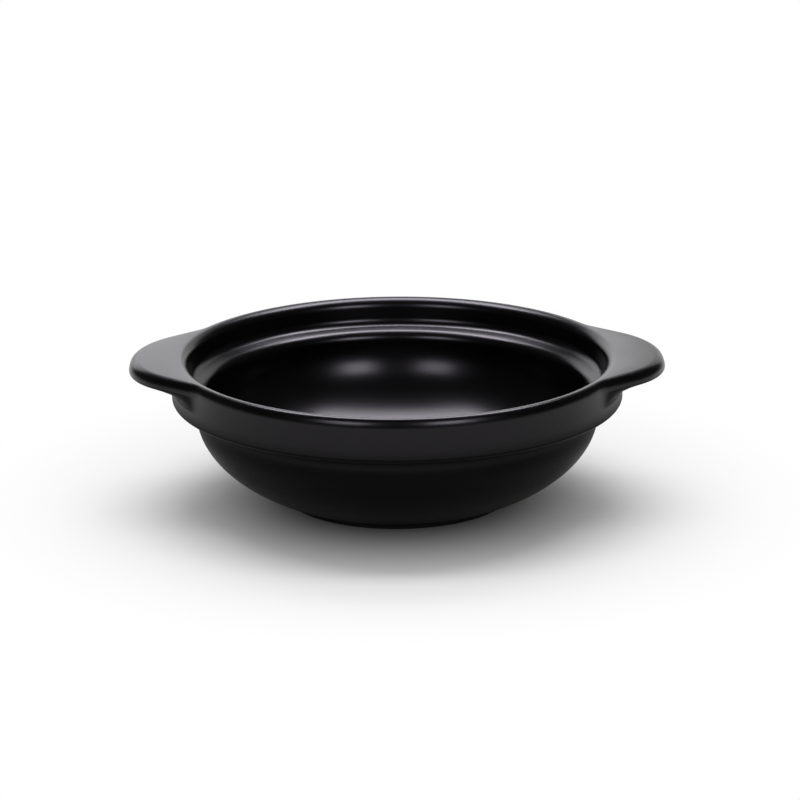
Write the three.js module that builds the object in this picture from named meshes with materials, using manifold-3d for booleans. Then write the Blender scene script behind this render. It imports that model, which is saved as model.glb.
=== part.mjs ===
// A lidless glazed clay pot: a round bowl on a low foot ring, a rim collar with a ledge for a lid inside
// and a lip that overhangs the bowl, and two flat ears that run out of the rim.
// Millimetres, +Z up. The origin is the middle of the plane the foot stands on, and +X runs through the right ear.
import * as THREE from "three";
import { mergeVertices } from "three/addons/utils/BufferGeometryUtils.js";
import Module from "manifold-3d";

// Overall sizes
const POT_HEIGHT = 65;
const COLLAR_RADIUS = 100;
const EAR_LENGTH = 18.7;

// Rim collar: the band with its rounded top edge, the lid gallery inside and the lip below
const RIM_THICKNESS = 7;
const RIM_ROUND_WIDTH = 2.75;
const RIM_ROUND_HEIGHT = 5;
const RIM_INNER_ROUND = 4.6;
const LIP_ROUND = 2;
const GALLERY_DEPTH = 11.5;
const GALLERY_TAPER = 1;
const GALLERY_FILLET = 4.4;
const LEDGE_WIDTH = 8;
const LEDGE_DROP = 2.8;
const LEDGE_THICKNESS = 5.2;
const LEDGE_NOSE_ROUND = 4.8;

// Bowl: under the collar a cove and a short upright neck, then a belly that is part of an ellipse down to the foot
const WALL = 5.4;
const NECK_COVE = 4;
const NECK_HEIGHT = 1.7;
const BASE_THICKNESS = 6;
const FLOOR_RADIUS = 36;
const BOWL_FULLNESS = 0.53;

// Foot ring
const FOOT_RADIUS = 50.5;
const FOOT_WIDTH = 6.5;
const FOOT_HEIGHT = 2;
const FOOT_ROUND = 0.7;
const HEEL_STEP = 0.4;

// Ears: flat tabs with round tips and slanting sides, level with the rim, round-edged and coved into the collar below
const EAR_THICKNESS = 6.4;
const EAR_DRAFT = 0.8;
const EAR_ROUND_WIDTH = 5;
const EAR_COVE_WIDTH = 8;
const EAR_COVE_HEIGHT = 6;
const EAR_TIP_WIDTH = 42;
const EAR_ROOT_WIDTH = 93;
const EAR_CORNER_RADIUS = 40;
const EAR_ROOT_FILLET = 24;

// Each ear is luted to a cylinder just outside the collar's wall, with a gap for the slip
const SEAM_ALLOWANCE = 0.05;
const SEAM_GAP = 0.3;

// Facets: segments round the axis, how far they gather towards the ears, and the steps of each curve
const ROUND_SEGMENTS = 72;
const EAR_GATHER = 0.35;
const EDGE_STEPS = 4;
const COVE_STEPS = 5;
const WALL_STEPS = 11;
const OUTLINE_STEPS = 120;

// Heights and radii that pieces share
const ledgeHeight = POT_HEIGHT - GALLERY_DEPTH;
const collarBase = ledgeHeight - LEDGE_DROP - LEDGE_THICKNESS;
const galleryRadius = COLLAR_RADIUS - RIM_THICKNESS;
const throatRadius = galleryRadius - GALLERY_TAPER - LEDGE_WIDTH;
const earReach = COLLAR_RADIUS + EAR_LENGTH;

const QUARTER = Math.PI / 2;
const wasm = await Module();
wasm.setup();

// A point of a profile: its radius from the axis and its height.
const at = (r, z) => new THREE.Vector2(r, z);

// Points on an arc of an ellipse, with angles counted from outwards to upwards.
function arc(centre, radiusR, radiusZ, from, to, steps) {
  return new THREE.EllipseCurve(centre.x, centre.y, radiusR, radiusZ, from, to, to < from).getPoints(steps);
}

// The corner at b, on the way from a to c, rounded by a tangent arc.
function rounded(a, b, c, radius) {
  const toA = a.clone().sub(b).normalize();
  const toC = c.clone().sub(b).normalize();
  const half = Math.acos(toA.dot(toC)) / 2;
  const centre = toA.clone().add(toC).setLength(radius / Math.sin(half)).add(b);
  const tangent = radius / Math.tan(half);
  const from = b.clone().addScaledVector(toA, tangent).sub(centre).angle();
  const to = b.clone().addScaledVector(toC, tangent).sub(centre).angle();
  const turn = THREE.MathUtils.euclideanModulo(to - from + Math.PI, 2 * Math.PI) - Math.PI;
  return arc(centre, radius, radius, from, from + turn, EDGE_STEPS);
}

// A profile turned about the axis, with its segments gathered towards the ears.
// shaped(k, angle) gives where point k of the profile lies at an angle round the pot.
function turned(profile, shaped = (k) => profile[k]) {
  const geometry = new THREE.LatheGeometry(profile, ROUND_SEGMENTS);
  geometry.rotateX(QUARTER);
  geometry.deleteAttribute("normal");
  geometry.deleteAttribute("uv");
  const position = geometry.attributes.position;
  for (let i = 0; i < position.count; i++) {
    const segment = Math.floor(i / profile.length) % ROUND_SEGMENTS;
    const even = (segment / ROUND_SEGMENTS) * 2 * Math.PI;
    const angle = even - (EAR_GATHER * Math.sin(2 * even)) / 2;
    const place = shaped(i % profile.length, angle);
    position.setXYZ(i, place.x * Math.cos(angle), place.x * Math.sin(angle), place.y);
  }
  return mergeVertices(geometry);
}

function solidOf(geometry) {
  const vertProperties = geometry.attributes.position.array;
  const triVerts = new Uint32Array(geometry.index.array);
  return new wasm.Manifold(new wasm.Mesh({ numProp: 3, vertProperties, triVerts }));
}

function geometryOf(solid) {
  const { vertProperties, triVerts } = solid.getMesh();
  const geometry = new THREE.BufferGeometry();
  geometry.setAttribute("position", new THREE.BufferAttribute(vertProperties, 3));
  geometry.setIndex(new THREE.BufferAttribute(triVerts, 1));
  return geometry;
}

// Half of an ear's outline from above, from the middle of its tip to where it leaves the rim:
// the tip, a round corner, a straight slanting side and a hollow fillet that runs into the rim.
// The side's line runs from the tip's square corner to a point of the rim, and faces along sideAngle.
function earOutline() {
  const tipHalf = EAR_TIP_WIDTH / 2;
  const rootHalf = EAR_ROOT_WIDTH / 2;
  const rootX = Math.sqrt(COLLAR_RADIUS ** 2 - rootHalf ** 2);
  const sideAngle = Math.atan2(earReach - rootX, rootHalf - tipHalf);
  const sideDistance = earReach * Math.cos(sideAngle) + tipHalf * Math.sin(sideAngle);
  const cornerX = earReach - EAR_CORNER_RADIUS;
  const cornerY = tipHalf - EAR_CORNER_RADIUS * Math.tan(sideAngle / 2);
  const filletReach = COLLAR_RADIUS + EAR_ROOT_FILLET;
  const rootAngle = sideAngle - Math.acos((sideDistance + EAR_ROOT_FILLET) / filletReach);
  const filletX = filletReach * Math.cos(rootAngle);
  const filletY = filletReach * Math.sin(rootAngle);
  const outline = new THREE.Path();
  outline.moveTo(earReach, 0);
  outline.lineTo(earReach, cornerY);
  outline.absarc(cornerX, cornerY, EAR_CORNER_RADIUS, 0, sideAngle, false);
  outline.absarc(filletX, filletY, EAR_ROOT_FILLET, sideAngle + Math.PI, rootAngle + Math.PI, true);
  return outline.getSpacedPoints(OUTLINE_STEPS);
}

// How far the ears stand out at an angle round the pot: 0 on the plain rim, 1 at the middle of a tip.
const outline = earOutline();
function earShare(angle) {
  const fromEar = Math.abs(Math.atan(Math.tan(angle)));
  const next = outline.findIndex((p) => p.angle() > fromEar);
  if (next < 0) return 0;
  const before = outline[next - 1];
  const after = outline[next];
  const radius = THREE.MathUtils.mapLinear(
    fromEar, before.angle(), after.angle(), before.length(), after.length());
  return (radius - COLLAR_RADIUS) / EAR_LENGTH;
}

// The collar and its ears as they are shaped in the soft clay: the section of the plain collar swells
// into the section of an ear, point by point, as the ear stands out.
function collarWithEars() {
  const throat = at(throatRadius, collarBase);
  const nose = at(throatRadius, ledgeHeight - LEDGE_DROP);
  const ledge = at(galleryRadius - GALLERY_TAPER, ledgeHeight);
  const rim = at(galleryRadius, POT_HEIGHT);
  const shoulder = at(COLLAR_RADIUS, POT_HEIGHT);
  const lip = at(COLLAR_RADIUS, collarBase);
  const inside = [
    throat,
    ...rounded(throat, nose, ledge, LEDGE_NOSE_ROUND),
    ...rounded(nose, ledge, rim, GALLERY_FILLET),
    ...rounded(ledge, rim, shoulder, RIM_INNER_ROUND),
  ];

  // The outside of the plain collar and that of an ear have their points at the same heights.
  const wallTop = POT_HEIGHT - RIM_ROUND_HEIGHT;
  const earUnderside = POT_HEIGHT - EAR_THICKNESS;
  const underRound = wallTop - earUnderside;
  const coveBase = at(COLLAR_RADIUS + EAR_COVE_WIDTH, earUnderside - EAR_DRAFT - EAR_COVE_HEIGHT);
  const edge = (reach, width) =>
    arc(at(reach - width, wallTop), width, RIM_ROUND_HEIGHT, QUARTER, 0, EDGE_STEPS);
  const underEar = [
    ...arc(at(earReach - underRound, wallTop), underRound, underRound, 0, -QUARTER, EDGE_STEPS).slice(1),
    ...arc(coveBase, EAR_COVE_WIDTH, EAR_COVE_HEIGHT, QUARTER, Math.PI, COVE_STEPS),
  ];
  const earSection = [...edge(earReach, EAR_ROUND_WIDTH), ...underEar];
  const plainSection = [...edge(COLLAR_RADIUS, RIM_ROUND_WIDTH), ...underEar.map((p) => at(COLLAR_RADIUS, p.y))];

  // Both sections run from the throat under the lip, up the outside, over the rim and down the gallery.
  const lipEdge = rounded(shoulder, lip, throat, LIP_ROUND);
  const plain = [...inside, ...plainSection, ...lipEdge, throat].reverse();
  const swollen = [...inside, ...earSection, ...lipEdge, throat].reverse();
  return turned(plain, (k, angle) => plain[k].clone().lerp(swollen[k], earShare(angle)));
}

// A solid cylinder about the axis, taller than the collar.
function core(radius) {
  return solidOf(turned([at(0, 0), at(radius, 0), at(radius, 2 * POT_HEIGHT), at(0, 2 * POT_HEIGHT)]));
}

// The bowl: its flat base, the belly, a hollow cove under the collar, the joint and the inside down to the floor.
function bowlProfile() {
  const bowlRadius = throatRadius + WALL;
  const floorHeight = FOOT_HEIGHT + BASE_THICKNESS;
  const neckTop = collarBase - NECK_COVE;
  const bellyHeight = neckTop - NECK_HEIGHT;
  const heelAngle = -Math.acos((FOOT_RADIUS + HEEL_STEP) / bowlRadius);
  const bellyDepth = (bellyHeight - FOOT_HEIGHT) / Math.sin(-heelAngle);
  const belly = arc(at(0, bellyHeight), bowlRadius, bellyDepth, heelAngle, 0, WALL_STEPS);
  const cove = arc(at(bowlRadius + NECK_COVE, neckTop), NECK_COVE, NECK_COVE, Math.PI, QUARTER, EDGE_STEPS);
  const mouth = at(throatRadius, collarBase);
  const floor = at(FLOOR_RADIUS, floorHeight);
  const corner = at(throatRadius, floorHeight);
  const inside = new THREE.CubicBezierCurve(
    mouth, mouth.clone().lerp(corner, BOWL_FULLNESS), floor.clone().lerp(corner, BOWL_FULLNESS), floor);
  return [at(0, FOOT_HEIGHT), ...belly, ...cove, ...inside.getPoints(WALL_STEPS), at(0, floorHeight)];
}

// The foot: a flat ring with its two standing edges rounded.
function footProfile() {
  const innerRadius = FOOT_RADIUS - FOOT_WIDTH;
  const topInner = at(innerRadius, FOOT_HEIGHT);
  const bottomInner = at(innerRadius, 0);
  const bottomOuter = at(FOOT_RADIUS, 0);
  const topOuter = at(FOOT_RADIUS, FOOT_HEIGHT);
  return [
    topInner,
    ...rounded(topInner, bottomInner, bottomOuter, FOOT_ROUND),
    ...rounded(bottomInner, bottomOuter, topOuter, FOOT_ROUND),
    topOuter,
    topInner,
  ];
}

const glaze = new THREE.MeshStandardMaterial({ color: 0x141316, roughness: 0.35, metalness: 0 });

const pot = new THREE.Group();
function addPiece(name, geometry) {
  geometry.computeVertexNormals();
  const mesh = new THREE.Mesh(geometry, glaze);
  mesh.name = name;
  pot.add(mesh);
}

const shaped = solidOf(collarWithEars());
const seamRadius = COLLAR_RADIUS + SEAM_ALLOWANCE;
const ears = shaped.subtract(core(seamRadius + SEAM_GAP)).decompose();
const rightEar = ears.find((ear) => ear.boundingBox().min[0] > 0);
const leftEar = ears.find((ear) => ear.boundingBox().max[0] < 0);

addPiece("foot_ring", turned(footProfile()));
addPiece("bowl", turned(bowlProfile()));
addPiece("rim_collar", geometryOf(shaped.intersect(core(seamRadius))));
addPiece("ear_left", geometryOf(leftEar));
addPiece("ear_right", geometryOf(rightEar));

export default pot;
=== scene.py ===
import bmesh
import bpy
import math
from mathutils import Matrix, Vector
from mathutils.geometry import interpolate_bezier


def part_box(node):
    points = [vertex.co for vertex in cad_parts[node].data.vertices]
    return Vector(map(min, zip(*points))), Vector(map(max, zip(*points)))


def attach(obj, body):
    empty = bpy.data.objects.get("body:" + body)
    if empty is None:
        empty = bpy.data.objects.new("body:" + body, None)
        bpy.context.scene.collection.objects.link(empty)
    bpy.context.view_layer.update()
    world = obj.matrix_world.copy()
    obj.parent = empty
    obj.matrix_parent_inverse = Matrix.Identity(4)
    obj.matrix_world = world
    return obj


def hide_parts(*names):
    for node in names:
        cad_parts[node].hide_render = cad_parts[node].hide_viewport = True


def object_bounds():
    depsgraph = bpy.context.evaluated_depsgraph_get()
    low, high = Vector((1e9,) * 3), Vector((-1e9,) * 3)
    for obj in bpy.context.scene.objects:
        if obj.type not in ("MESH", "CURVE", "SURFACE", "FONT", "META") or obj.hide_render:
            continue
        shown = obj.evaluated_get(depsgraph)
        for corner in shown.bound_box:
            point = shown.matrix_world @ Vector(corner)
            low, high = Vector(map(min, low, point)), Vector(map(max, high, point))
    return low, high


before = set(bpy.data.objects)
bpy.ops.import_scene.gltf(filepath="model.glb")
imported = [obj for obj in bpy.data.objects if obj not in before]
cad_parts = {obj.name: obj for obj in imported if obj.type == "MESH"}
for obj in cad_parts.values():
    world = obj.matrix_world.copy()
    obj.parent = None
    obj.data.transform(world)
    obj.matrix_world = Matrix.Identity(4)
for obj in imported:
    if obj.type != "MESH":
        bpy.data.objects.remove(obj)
cad_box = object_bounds()

# The camera looks down on the pot at a low angle from just left of straight ahead, with a long lens.
# Its distance and lens give the photograph's scale and its weak perspective.
# The pot's rim sits above the middle of the picture, so the aim lies below the rim.
camera_distance = 1.552
camera_elevation = math.radians(16.05)
camera_turn = math.radians(1.0)
camera_roll = math.radians(0.3)
picture_width = 800
pixels_to_metres = 0.0004434
rim_right_of_centre = -2.7 * pixels_to_metres
rim_above_centre = 46.2 * pixels_to_metres
rim_centre = Vector((0, 0, cad_box[1][2]))

camera_data = bpy.data.cameras.new("camera")
camera_data.sensor_width = 36
camera_data.lens = camera_data.sensor_width * camera_distance / (picture_width * pixels_to_metres)
camera_data.clip_end = 20
camera = bpy.data.objects.new("camera", camera_data)
bpy.context.collection.objects.link(camera)
bpy.context.scene.camera = camera
towards_camera = Matrix.Rotation(-camera_turn, 3, "Z") @ Vector(
    (0, -math.cos(camera_elevation), math.sin(camera_elevation)))
camera_facing = towards_camera.to_track_quat("Z", "Y").to_matrix()
camera_right = camera_facing.col[0]
camera_up = camera_facing.col[1]
aim = rim_centre - camera_right * rim_right_of_centre - camera_up * rim_above_centre
camera.location = rim_centre + towards_camera * camera_distance
looking_back = (camera.location - aim).normalized()
camera.rotation_euler = (
    looking_back.to_track_quat("Z", "Y").to_matrix() @ Matrix.Rotation(-camera_roll, 3, "Z")).to_euler()

# The bowl is thrown in dark stoneware: a flat base, a belly that swells like part of an ellipse, a short
# upright neck and a small cove up to the joint under the collar. Inside, one sweep runs down to a flat floor.
# It is dipped whole in a near-black satin glaze, so that no clay shows above the foot.
turn_steps = 288
weld_distance = 1e-6
sharp_corner = math.radians(40)


def arc(middle, across, up, start, end, steps):
    """Points on part of an ellipse in a section, with angles from outwards to upwards."""
    angles = [start + (end - start) * i / steps for i in range(steps + 1)]
    return [(middle[0] + across * math.cos(a), middle[1] + up * math.sin(a)) for a in angles]


def turned(outline, closed=False):
    """A section of radii and heights spun about the pot's axis into a closed surface."""
    mesh = bmesh.new()
    step = mesh.verts.layers.int.new("section_step")
    points = [mesh.verts.new((radius, 0, height)) for radius, height in outline]
    for i, point in enumerate(points):
        point[step] = i
    rest = points[1:] + points[:1] if closed else points[1:]
    edges = [mesh.edges.new(pair) for pair in zip(points, rest)]
    bmesh.ops.spin(mesh, geom=points + edges, cent=(0, 0, 0), axis=(0, 0, 1),
                   angle=2 * math.pi, steps=turn_steps, use_merge=True)
    bmesh.ops.remove_doubles(mesh, verts=mesh.verts, dist=weld_distance)
    bmesh.ops.recalc_face_normals(mesh, faces=mesh.faces)
    return mesh


def finished(name, mesh, material):
    """The mesh as a piece of the pot, smooth but for its sharp corners, riding on the pot's one body."""
    data = bpy.data.meshes.new(name)
    mesh.to_mesh(data)
    mesh.free()
    for polygon in data.polygons:
        polygon.use_smooth = True
    data.set_sharp_from_angle(angle=sharp_corner)
    data.materials.append(material)
    piece = bpy.data.objects.new(name, data)
    bpy.context.collection.objects.link(piece)
    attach(piece, "root")
    return piece


class Socket:
    """A shader socket that adds Math nodes when it is used in an expression."""

    def __init__(self, tree, output):
        self.tree = tree
        self.output = output

    def node(self, kind, settings=None, **inputs):
        """A new node in the tree. Its inputs go by name, with _ for a space, or by number, as in0 and in1."""
        made = self.tree.nodes.new(kind)
        for key, value in (settings or {}).items():
            setattr(made, key, value)
        for key, value in inputs.items():
            place = made.inputs[int(key[2:])] if key[:2] == "in" else made.inputs[key.replace("_", " ")]
            if isinstance(value, Socket):
                self.tree.links.new(value.output, place)
            else:
                place.default_value = value
        return made

    def result(self, node, name):
        return Socket(self.tree, node.outputs[name])

    def feed(self, place):
        self.tree.links.new(self.output, place)

    def math(self, operation, first, second):
        made = self.node("ShaderNodeMath", {"operation": operation}, in0=first, in1=second)
        return self.result(made, "Value")

    def __add__(self, other):
        return self.math("ADD", self, other)

    def __radd__(self, other):
        return self.math("ADD", other, self)

    def __mul__(self, other):
        return self.math("MULTIPLY", self, other)

    def __rmul__(self, other):
        return self.math("MULTIPLY", other, self)

    def __pow__(self, other):
        return self.math("POWER", self, other)


def new_material(name):
    """An empty node material with a Principled shader, and a socket that starts expressions in its tree."""
    material = bpy.data.materials.new(name)
    material.use_nodes = True
    tree = material.node_tree
    shader = tree.nodes["Principled BSDF"]
    coordinates = tree.nodes.new("ShaderNodeTexCoord")
    return material, shader, Socket(tree, coordinates.outputs["Object"])


def noise(place, scale, detail):
    made = place.node("ShaderNodeTexNoise", Vector=place, Scale=scale, Detail=detail)
    return place.result(made, "Fac")


def between(place, share, first, second):
    """A colour from the first to the second, by the share. A Mix node's colours are in6 and in7."""
    mixed = place.node("ShaderNodeMix", {"data_type": "RGBA"}, in0=share, in6=first, in7=second)
    return Socket(place.tree, mixed.outputs[2])


glaze_black = (0.0016, 0.0015, 0.0017, 1)
glaze_thin = (0.0040, 0.0034, 0.0032, 1)
glaze_cast = (1, 0.93, 1, 1)
glaze_index = 1.335
glaze_least_roughness = 0.2
glaze_roughness_spread = 0.1
peel_share = 0.35
glaze_relief_strength = 0.16
glaze_relief_depth = 0.0001

glaze, shader, place = new_material("glaze")
cloud = noise(place, scale=28, detail=3)
pooling = noise(place, scale=9, detail=2)
peel = noise(place, scale=620, detail=2)
wave = noise(place, scale=75, detail=1)
between(place, pooling ** 3, glaze_black, glaze_thin).feed(shader.inputs["Base Color"])
(glaze_least_roughness + glaze_roughness_spread * cloud).feed(shader.inputs["Roughness"])
bump = place.node("ShaderNodeBump", Strength=glaze_relief_strength, Distance=glaze_relief_depth,
                  Height=peel * peel_share + wave)
place.result(bump, "Normal").feed(shader.inputs["Normal"])
shader.inputs["IOR"].default_value = glaze_index
shader.inputs["Specular Tint"].default_value = glaze_cast

bowl_wall = 0.0054
neck_cove = 0.004
neck_height = 0.0017
base_thickness = 0.006
floor_radius = 0.036
heel_step = 0.0004
bowl_fullness = 0.53
belly_steps = 32
cove_steps = 8
sweep_points = 40

joint_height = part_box("bowl")[1][2]
base_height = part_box("bowl")[0][2]
foot_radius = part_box("foot_ring")[1][0]
bowl_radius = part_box("bowl")[1][0] - neck_cove
throat_radius = bowl_radius - bowl_wall
floor_height = base_height + base_thickness
neck_top = joint_height - neck_cove
belly_height = neck_top - neck_height
heel_angle = -math.acos((foot_radius + heel_step) / bowl_radius)
belly_depth = (belly_height - base_height) / math.sin(-heel_angle)

mouth = Vector((throat_radius, joint_height))
floor_edge = Vector((floor_radius, floor_height))
corner = Vector((throat_radius, floor_height))
mouth_pull = mouth.lerp(corner, bowl_fullness)
floor_pull = floor_edge.lerp(corner, bowl_fullness)
sweep = interpolate_bezier(mouth, mouth_pull, floor_pull, floor_edge, sweep_points)
bowl_outline = [
    (0, base_height),
    *arc((0, belly_height), bowl_radius, belly_depth, heel_angle, 0, belly_steps),
    *arc((bowl_radius + neck_cove, neck_top), neck_cove, neck_cove, math.pi, math.pi / 2, cove_steps),
    *sweep,
    (0, floor_height),
]
bowl = finished("bowl_body", turned(bowl_outline), glaze)
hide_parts("bowl")

# The foot is a low ring of the same clay, luted under the bowl and trimmed flat where it stands.
# Its outside carries a thin coat of glaze, and the standing face is wiped bare before firing; here the whole
# foot takes one bare clay material.
foot_width = 0.0065
foot_round = 0.0007
foot_round_steps = 6
foot_inner = foot_radius - foot_width
clay_dark = (0.0065, 0.0058, 0.0056, 1)
clay_pale = (0.030, 0.026, 0.024, 1)
clay_roughness = 0.62
clay_relief_strength = 0.25
clay_relief_depth = 0.0002

foot_clay, shader, place = new_material("foot_clay")
grain = noise(place, scale=900, detail=4)
between(place, grain, clay_dark, clay_pale).feed(shader.inputs["Base Color"])
shader.inputs["Roughness"].default_value = clay_roughness
bump = place.node("ShaderNodeBump", Strength=clay_relief_strength, Distance=clay_relief_depth, Height=grain)
place.result(bump, "Normal").feed(shader.inputs["Normal"])

inner_edge = arc((foot_inner + foot_round, foot_round), foot_round, foot_round,
                 math.pi, 1.5 * math.pi, foot_round_steps)
outer_edge = arc((foot_radius - foot_round, foot_round), foot_round, foot_round,
                 -math.pi / 2, 0, foot_round_steps)
foot_outline = [(foot_inner, base_height), *inner_edge, *outer_edge, (foot_radius, base_height)]
foot = finished("foot", turned(foot_outline, closed=True), foot_clay)
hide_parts("foot_ring")

# The collar is an upright band luted on the bowl's joint, with a lip that overhangs it, and inside it a gallery
# wall runs down to a sloping ledge for a lid. Two flat ears stand out of the rim and are smoothed into it, so
# under the glaze collar and ears are one skin: its section swells from the plain band into the ear.
rim_thickness = 0.007
rim_round_width = 0.00275
rim_round_height = 0.005
rim_inner_round = 0.0046
lip_round = 0.002
gallery_depth = 0.0115
gallery_taper = 0.001
gallery_fillet = 0.0044
ledge_drop = 0.0028
ledge_nose_round = 0.0048
ear_thickness = 0.0064
ear_draft = 0.0008
ear_round_width = 0.005
ear_cove_width = 0.008
ear_cove_height = 0.006
ear_tip_width = 0.042
ear_root_width = 0.093
ear_corner_radius = 0.04
ear_root_fillet = 0.024
ledge_round_steps = 10
small_round_steps = 8
edge_steps = 12
ear_cove_steps = 14

collar_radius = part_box("rim_collar")[1][1]
rim_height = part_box("rim_collar")[1][2]
ear_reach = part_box("ear_right")[1][0]
ear_length = ear_reach - collar_radius


def rounded(before, corner, after, radius, steps):
    """Points of an arc that rounds a corner of a section."""
    to_before = (Vector(before) - Vector(corner)).normalized()
    to_after = (Vector(after) - Vector(corner)).normalized()
    half = to_before.angle(to_after) / 2
    middle = Vector(corner) + (to_before + to_after).normalized() * radius / math.sin(half)
    first = Vector(corner) + to_before * radius / math.tan(half) - middle
    last = Vector(corner) + to_after * radius / math.tan(half) - middle
    start = math.atan2(first.y, first.x)
    turn = math.atan2(first.cross(last), first.dot(last))
    return arc(middle, radius, radius, start, start + turn, steps)


def ear_outline_radius(angle):
    """How far the rim or an ear reaches from the axis at an angle from the ear's middle."""
    tip_half = ear_tip_width / 2
    root_half = ear_root_width / 2
    root_x = math.sqrt(collar_radius ** 2 - root_half ** 2)
    side = math.atan2(ear_reach - root_x, root_half - tip_half)
    side_distance = ear_reach * math.cos(side) + tip_half * math.sin(side)
    corner_x = ear_reach - ear_corner_radius
    corner_y = tip_half - ear_corner_radius * math.tan(side / 2)
    fillet_reach = collar_radius + ear_root_fillet
    root_angle = side - math.acos((side_distance + ear_root_fillet) / fillet_reach)
    fillet_x = fillet_reach * math.cos(root_angle)
    fillet_y = fillet_reach * math.sin(root_angle)
    corner_end = math.atan2(corner_y + ear_corner_radius * math.sin(side),
                            corner_x + ear_corner_radius * math.cos(side))
    side_end = math.atan2(fillet_y - ear_root_fillet * math.sin(side),
                          fillet_x - ear_root_fillet * math.cos(side))
    if angle < math.atan2(corner_y, ear_reach):
        return ear_reach / math.cos(angle)
    if angle < corner_end:
        along = corner_x * math.cos(angle) + corner_y * math.sin(angle)
        off = corner_x * math.sin(angle) - corner_y * math.cos(angle)
        return along + math.sqrt(ear_corner_radius ** 2 - off ** 2)
    if angle < side_end:
        return side_distance / math.cos(angle - side)
    if angle < root_angle:
        along = fillet_x * math.cos(angle) + fillet_y * math.sin(angle)
        off = fillet_x * math.sin(angle) - fillet_y * math.cos(angle)
        return along - math.sqrt(ear_root_fillet ** 2 - off ** 2)
    return collar_radius


gallery_radius = collar_radius - rim_thickness
ledge_height = rim_height - gallery_depth
throat = (throat_radius, joint_height)
nose = (throat_radius, ledge_height - ledge_drop)
ledge = (gallery_radius - gallery_taper, ledge_height)
rim = (gallery_radius, rim_height)
shoulder = (collar_radius, rim_height)
lip = (collar_radius, joint_height)
inside = [
    throat,
    *rounded(throat, nose, ledge, ledge_nose_round, ledge_round_steps),
    *rounded(nose, ledge, rim, gallery_fillet, ledge_round_steps),
    *rounded(ledge, rim, shoulder, rim_inner_round, small_round_steps),
]
wall_top = rim_height - rim_round_height
ear_underside = rim_height - ear_thickness
under_round = wall_top - ear_underside
cove_base = (collar_radius + ear_cove_width, ear_underside - ear_draft - ear_cove_height)
rim_edge = arc((collar_radius - rim_round_width, wall_top), rim_round_width, rim_round_height,
               math.pi / 2, 0, edge_steps)
ear_edge = arc((ear_reach - ear_round_width, wall_top), ear_round_width, rim_round_height,
               math.pi / 2, 0, edge_steps)
under_edge = arc((ear_reach - under_round, wall_top), under_round, under_round,
                 0, -math.pi / 2, small_round_steps)
ear_cove = arc(cove_base, ear_cove_width, ear_cove_height, math.pi / 2, math.pi, ear_cove_steps)
under_ear = [*under_edge[1:], *ear_cove]
lip_edge = rounded(shoulder, lip, throat, lip_round, small_round_steps)

# On the plain band the points of the ear's underside are spread down the wall by their distance along it,
# so that the ear fades into the band without a fold.
under_path = [ear_edge[-1], *under_ear]
under_lengths = [(Vector(b) - Vector(a)).length for a, b in zip(under_path, under_path[1:])]
under_wall = wall_top - cove_base[1]
plain_heights = [wall_top - under_wall * sum(under_lengths[:i + 1]) / sum(under_lengths)
                 for i in range(len(under_ear))]
plain_section = [*inside, *rim_edge, *[(collar_radius, height) for height in plain_heights], *lip_edge]
swollen_section = [*inside, *ear_edge, *under_ear, *lip_edge]

collar_mesh = turned(plain_section, closed=True)
step = collar_mesh.verts.layers.int["section_step"]
for vertex in collar_mesh.verts:
    from_ear = abs(math.atan(vertex.co.y / vertex.co.x)) if vertex.co.x else math.pi / 2
    around = math.atan2(vertex.co.y, vertex.co.x)
    share = (ear_outline_radius(from_ear) - collar_radius) / ear_length
    radius, height = Vector(plain_section[vertex[step]]).lerp(Vector(swollen_section[vertex[step]]), share)
    vertex.co = (radius * math.cos(around), radius * math.sin(around), height)
collar = finished("collar_with_ears", collar_mesh, glaze)
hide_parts("rim_collar", "ear_left", "ear_right")

# The pot stands on a plain pale sheet of paper that sweeps up into a backdrop behind it.
# To the eye the paper is white a little way from the pot, and close to it the pot's shadow stays.
# In the gloss a painted shadow, a flat grey glow, lies close to the pot and the sheet is white further out, so
# that the bowl is darker than the collar.
sheet_half_width = 3.0
sheet_front = -3.0
sheet_back = 3.2
sheet_bend = 1.2
sheet_top = 3.0
sheet_bend_steps = 24
paper_colour = (0.88, 0.88, 0.83, 1)
paper_roughness = 0.9
# a flat grey painted shadow that only the gloss sees near the pot, and the distances over which it comes in
painted_shadow_in_gloss = (0.17, 0.17, 0.17, 1)
white_to_eye = (0.035, 0.2)
painted_shadow_to_gloss = (0.04, 0.13)
white_to_gloss = (0.19, 0.25)

sheet_mesh = bmesh.new()
sweep_up = arc((sheet_back, sheet_bend), sheet_bend, sheet_bend, -math.pi / 2, 0, sheet_bend_steps)
sheet_line = [(sheet_front, 0), *sweep_up, (sheet_back + sheet_bend, sheet_top)]
left_edge = [sheet_mesh.verts.new((-sheet_half_width, y, z)) for y, z in sheet_line]
left_edges = [sheet_mesh.edges.new(pair) for pair in zip(left_edge, left_edge[1:])]
pulled = bmesh.ops.extrude_edge_only(sheet_mesh, edges=left_edges)
bmesh.ops.translate(sheet_mesh, vec=(2 * sheet_half_width, 0, 0),
                    verts=[v for v in pulled["geom"] if isinstance(v, bmesh.types.BMVert)])
sheet_data = bpy.data.meshes.new("sheet")
sheet_mesh.to_mesh(sheet_data)
sheet_mesh.free()
for polygon in sheet_data.polygons:
    polygon.use_smooth = True

paper, shader, place = new_material("paper")
shader.inputs["Base Color"].default_value = paper_colour
shader.inputs["Roughness"].default_value = paper_roughness
shader.inputs["Specular IOR Level"].default_value = 0
reach = place.result(place.node("ShaderNodeVectorMath", {"operation": "LENGTH"}, in0=place), "Value")


def share_beyond(start, end):
    """A share that rises from none to all between two distances from the pot's axis."""
    ramp = place.node("ShaderNodeMapRange", {"interpolation_type": "SMOOTHSTEP"},
                      in0=reach, in1=start, in2=end)
    return place.result(ramp, "Result")


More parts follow.
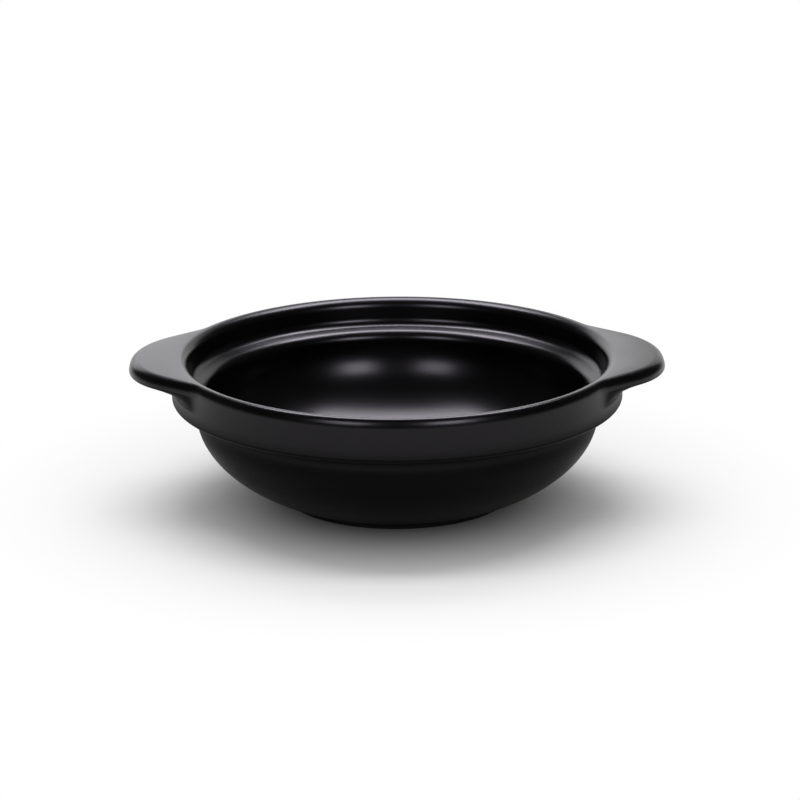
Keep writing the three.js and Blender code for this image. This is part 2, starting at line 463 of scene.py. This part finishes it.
ray = place.node("ShaderNodeLightPath")
by_eye = place.result(ray, "Is Camera Ray")
by_gloss = place.result(ray, "Is Glossy Ray") + place.result(ray, "Is Transmission Ray")
# The grey glow is a painted shadow on the sheet, seen only in the gloss.
painted_shadow_glow = place.node("ShaderNodeEmission", Color=painted_shadow_in_gloss, Strength=1.0)
white = place.node("ShaderNodeEmission", Color=(1, 1, 1, 1), Strength=1.0)
near = place.node("ShaderNodeMixShader", in0=by_gloss * share_beyond(*painted_shadow_to_gloss),
                  in1=place.result(shader, "BSDF"), in2=place.result(painted_shadow_glow, "Emission"))
whitened = by_eye * share_beyond(*white_to_eye) + by_gloss * share_beyond(*white_to_gloss)
whole = place.node("ShaderNodeMixShader", in0=whitened,
                   in1=place.result(near, "Shader"), in2=place.result(white, "Emission"))
place.result(whole, "Shader").feed(place.tree.nodes["Material Output"].inputs["Surface"])
sheet_data.materials.append(paper)
sheet = bpy.data.objects.new("sheet", sheet_data)
bpy.context.collection.objects.link(sheet)

# Soft boxes above and behind light the pot and the sheet, and a weak low panel behind shows on the ears.
# The two boxes in front and the strip above show only in the gloss, as the spots in the bowl and the lines on
# the rim, and leave the shadow alone. The room is dim to the pot, and white to the eye where the sheet ends.
cool_white = (0.94, 0.94, 1.0)
room_grey = (0.06, 0.06, 0.06, 1)


def soft_box(name, turn, elevation, distance, width, height, watts, gloss_only=False):
    """A flat lamp that faces the rim's middle, so many degrees round from the front and up from level."""
    lamp = bpy.data.lights.new(name, "AREA")
    lamp.shape = "RECTANGLE"
    lamp.size = width
    lamp.size_y = height
    lamp.energy = watts
    lamp.color = cool_white
    round_by = math.radians(turn)
    up_by = math.radians(elevation)
    level = math.cos(up_by)
    away = Vector((math.sin(round_by) * level, -math.cos(round_by) * level, math.sin(up_by)))
    box = bpy.data.objects.new(name, lamp)
    box.location = rim_centre + away * distance
    box.rotation_euler = away.to_track_quat("Z", "Y").to_euler()
    box.visible_diffuse = not gloss_only
    bpy.context.collection.objects.link(box)


soft_box("box_behind", turn=180, elevation=54, distance=1.7, width=1.4, height=0.36, watts=12)
soft_box("box_above", turn=180, elevation=79, distance=1.7, width=1.8, height=0.42, watts=20)
soft_box("box_back", turn=196, elevation=20, distance=2.4, width=2.0, height=0.9, watts=5.4)
soft_box("box_left", turn=-27, elevation=26, distance=1.6, width=0.5, height=0.52, watts=6, gloss_only=True)
soft_box("box_right", turn=26, elevation=26, distance=1.6, width=0.5, height=0.52, watts=8, gloss_only=True)
soft_box("box_strip", turn=180, elevation=68, distance=1.7, width=1.8, height=0.36, watts=40, gloss_only=True)

room = bpy.data.worlds.new("room")
room.use_nodes = True
dim = room.node_tree.nodes["Background"]
dim.inputs["Color"].default_value = room_grey
ray = room.node_tree.nodes.new("ShaderNodeLightPath")
to_eye = Socket(room.node_tree, ray.outputs["Is Camera Ray"])
bright = to_eye.node("ShaderNodeBackground", Color=(1, 1, 1, 1))
around = to_eye.node("ShaderNodeMixShader", in0=to_eye,
                     in1=to_eye.result(dim, "Background"), in2=to_eye.result(bright, "Background"))
to_eye.result(around, "Shader").feed(room.node_tree.nodes["World Output"].inputs["Surface"])
bpy.context.scene.world = room
bpy.context.scene.view_settings.view_transform = "Standard"
